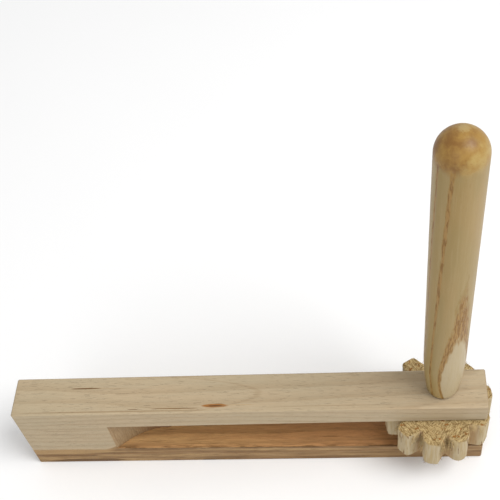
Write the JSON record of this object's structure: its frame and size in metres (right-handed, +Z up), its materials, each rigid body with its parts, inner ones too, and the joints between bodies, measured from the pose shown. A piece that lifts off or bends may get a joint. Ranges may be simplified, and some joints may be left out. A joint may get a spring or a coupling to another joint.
{
  "type": "ratchet rattle",
  "caption": "Hand-swung wooden ratchet rattle: a forked frame with a springy tongue clicks over a toothed wheel fixed to the handle's dowel.",
  "frame": {"origin": "centre of the lower arm's outer face, on which the frame rests", "axes": "+X along the frame towards the toothed wheel, +Z up along the handle and the wheel's axis, -Y the side whose hollow at the end of the slot is seen from the front"},
  "size_m": [0.2039, 0.0457, 0.193],
  "materials": {
    "frame_wood": "planed hardwood with pale sapwood on the handle side and brown heartwood on the far arm, bare satin",
    "tongue_wood": "thin straight-grained slat, bare",
    "wheel_wood": "bare end grain, fibrous from the saw, with smoother tooth tips",
    "axle_wood": "plain turned dowel, bare",
    "handle_wood": "turned ring-porous hardwood, satin lacquer",
    "brad_steel": "bright drawn wire"
  },
  "bodies": {
    "frame_body": {"frame": "frame_wood", "tongue_brad_1": "brad_steel", "tongue_brad_2": "brad_steel"},
    "tongue_body": {"tongue": "tongue_wood"},
    "wheel_and_handle": {"cog_wheel": "wheel_wood", "wheel_brad": "brad_steel", "axle": "axle_wood", "handle": "handle_wood"}
  },
  "joints": [
    {"name": "wheel_spin", "type": "hinge", "parent": "frame_body", "child": "wheel_and_handle", "pos_m": [0.082, 0.0011, 0], "axis": [0, 0, 1], "continuous": true},
    {"name": "tongue_flex", "type": "hinge", "parent": "frame_body", "child": "tongue_body", "pos_m": [-0.006, 0.0035, 0.0232], "axis": [0, 0, 1], "range_deg": [-8, 8], "stiffness_Nm_per_rad": 4.5, "deforming": ["tongue"]}
  ]
}
